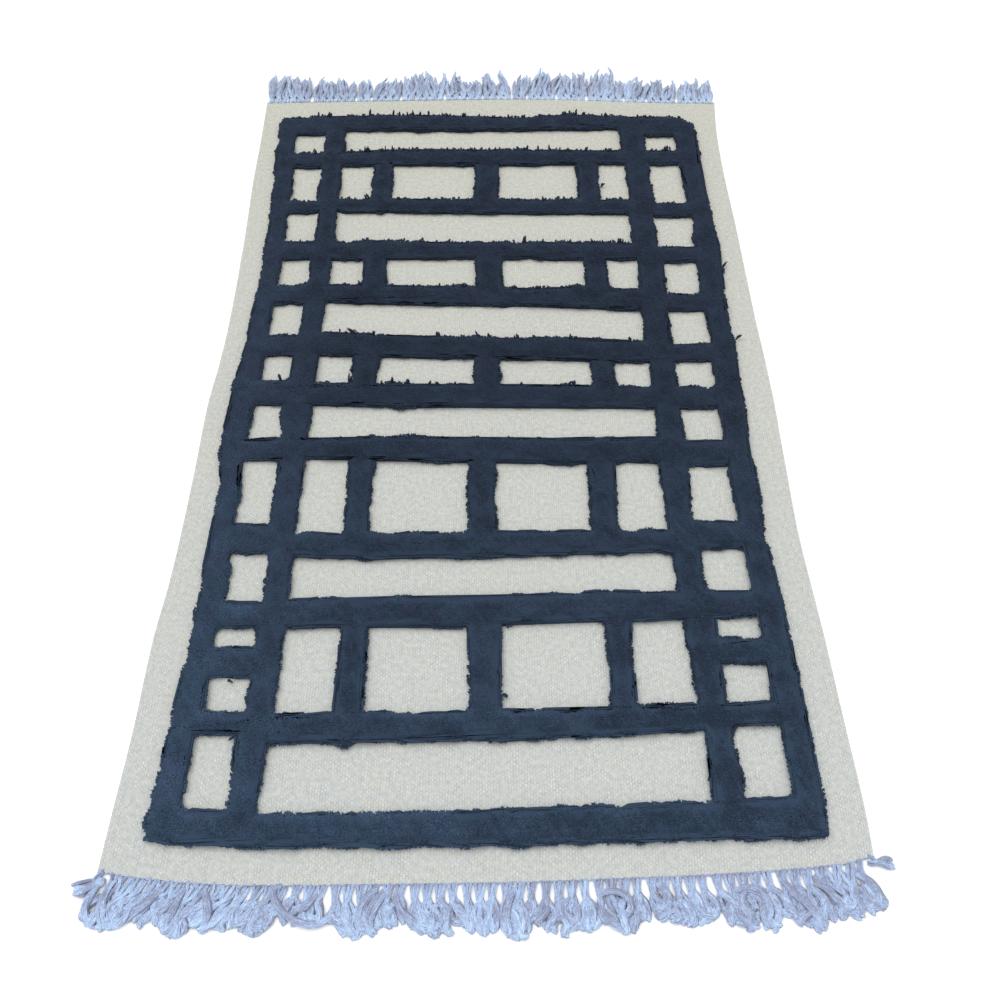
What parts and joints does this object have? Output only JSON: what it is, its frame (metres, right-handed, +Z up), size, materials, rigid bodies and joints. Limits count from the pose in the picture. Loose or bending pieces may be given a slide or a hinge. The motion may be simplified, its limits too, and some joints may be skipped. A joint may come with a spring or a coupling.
{
  "type": "kilim rug",
  "caption": "Flat-woven cream wool rug with a raised lattice of dark navy knotted pile and a loose warp fringe at both ends.",
  "frame": {"origin": "on the floor, under the middle of the rug's full length and width", "axes": "+Z up off the floor, +Y along the rug towards its far end, +X to the right across it"},
  "size_m": [1.1688, 2.0216, 0.0143],
  "materials": {
    "cream_wool": "undyed cream wool, weft-faced flat weave, matt, lightly flecked with grey",
    "navy_pile": "dark navy wool, dense knotted shag pile, matt",
    "warp_fringe": "pale blue-grey twisted warp yarn, soft sheen"
  },
  "bodies": {
    "root": {"ground_weave": "cream_wool", "pile_lattice": "navy_pile", "fringe_near": "warp_fringe", "fringe_far": "warp_fringe"}
  },
  "joints": []
}
